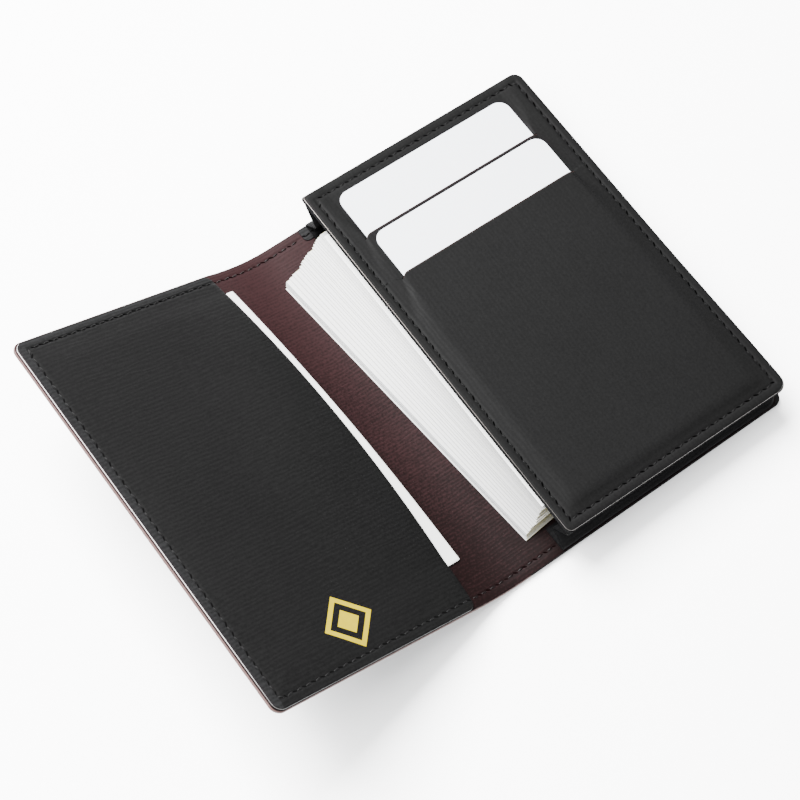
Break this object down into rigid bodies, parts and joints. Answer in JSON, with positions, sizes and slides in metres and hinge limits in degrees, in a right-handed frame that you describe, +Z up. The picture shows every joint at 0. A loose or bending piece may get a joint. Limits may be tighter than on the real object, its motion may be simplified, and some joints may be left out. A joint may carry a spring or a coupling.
{
  "type": "business card case",
  "caption": "Folding leather business card case, open, with a gusseted card pocket, slots for plastic cards, a spine strip and a flap with a slip pocket.",
  "frame": {"origin": "centre of the back half's underside, which is the face the case lies on", "axes": "+Z up out of the table, +Y along the spine, +X from the spine towards the back half's far edge"},
  "size_m": [0.1551, 0.1106, 0.034],
  "materials": {
    "black_leather": "fine embossed ribs, semi-matte",
    "burgundy_leather": "fine embossed ribs, semi-matte",
    "fibre_board": "raw grey board",
    "black_thread": "waxed thread",
    "burgundy_thread": "waxed thread",
    "pocket_cloth": "thin woven pocket cloth",
    "gold_foil": "hot-stamped foil",
    "slot_card_white": "blank satin card",
    "card_paper": "uncoated card stock"
  },
  "bodies": {
    "back": {"back_cover": "black_leather", "back_board": "fibre_board", "back_lining": "burgundy_leather", "gusset": "black_leather", "back_thread": "black_thread"},
    "spine": {"spine_cover": "black_leather", "spine_lining": "burgundy_leather", "spine_thread": "burgundy_thread"},
    "flap": {"front_cover": "black_leather", "front_board": "fibre_board", "front_lining": "burgundy_leather", "flap_pocket": "black_leather", "flap_thread": "black_thread", "foil_emblem": "gold_foil"},
    "flap_card": {"flap_card": "card_paper"},
    "panel": {"panel_face": "black_leather", "panel_lining": "black_leather", "slot_backing": "pocket_cloth", "panel_thread": "black_thread"},
    "upper_card": {"slot_card_upper": "slot_card_white"},
    "lower_card": {"slot_card_lower": "slot_card_white"},
    "cards_bottom": {"business_cards_bottom": "card_paper"},
    "cards_middle": {"business_cards_middle": "card_paper"},
    "cards_top": {"business_cards_top": "card_paper"}
  },
  "joints": [
    {"name": "spine_fold", "type": "hinge", "parent": "back", "child": "spine", "pos_m": [-0.036, 0, 0.00075], "axis": [0, 1, 0], "range_deg": [0, 90], "deforming": ["business_cards_bottom", "business_cards_middle", "business_cards_top"]},
    {"name": "flap_fold", "type": "hinge", "parent": "spine", "child": "flap", "pos_m": [-0.0532, 0, 0.00075], "axis": [0, 1, 0], "range_deg": [-25.5, 66]},
    {"name": "flap_card_slide", "type": "slide", "parent": "flap", "child": "flap_card", "axis": [0.9026, 0, -0.4305], "range_m": [-0.004, 0.0035]},
    {"name": "panel_lift", "type": "hinge", "parent": "back", "child": "panel", "pos_m": [0.035, 0, 0.0104], "axis": [0, 1, 0], "range_deg": [-3, 0], "deforming": ["gusset"]},
    {"name": "upper_card_slide", "type": "slide", "parent": "panel", "child": "upper_card", "axis": [0, 1, 0], "range_m": [0, 0.07]},
    {"name": "lower_card_slide", "type": "slide", "parent": "panel", "child": "lower_card", "axis": [0, 1, 0], "range_m": [0, 0.07]},
    {"name": "cards_bottom_slide", "type": "slide", "parent": "back", "child": "cards_bottom", "axis": [1, 0, 0], "range_m": [0, 0.0152]},
    {"name": "cards_middle_slide", "type": "slide", "parent": "back", "child": "cards_middle", "axis": [1, 0, 0], "range_m": [0, 0.0102]},
    {"name": "cards_top_slide", "type": "slide", "parent": "back", "child": "cards_top", "axis": [1, 0, 0], "range_m": [0, 0.00502]}
  ],
  "couplings": [
    {"joint": "panel_lift", "follows": "spine_fold", "ratio": -0.0322},
    {"joint": "cards_bottom_slide", "follows": "spine_fold", "m_per_rad": 0.00955},
    {"joint": "cards_middle_slide", "follows": "spine_fold", "m_per_rad": 0.00637},
    {"joint": "cards_top_slide", "follows": "spine_fold", "m_per_rad": 0.00319}
  ]
}
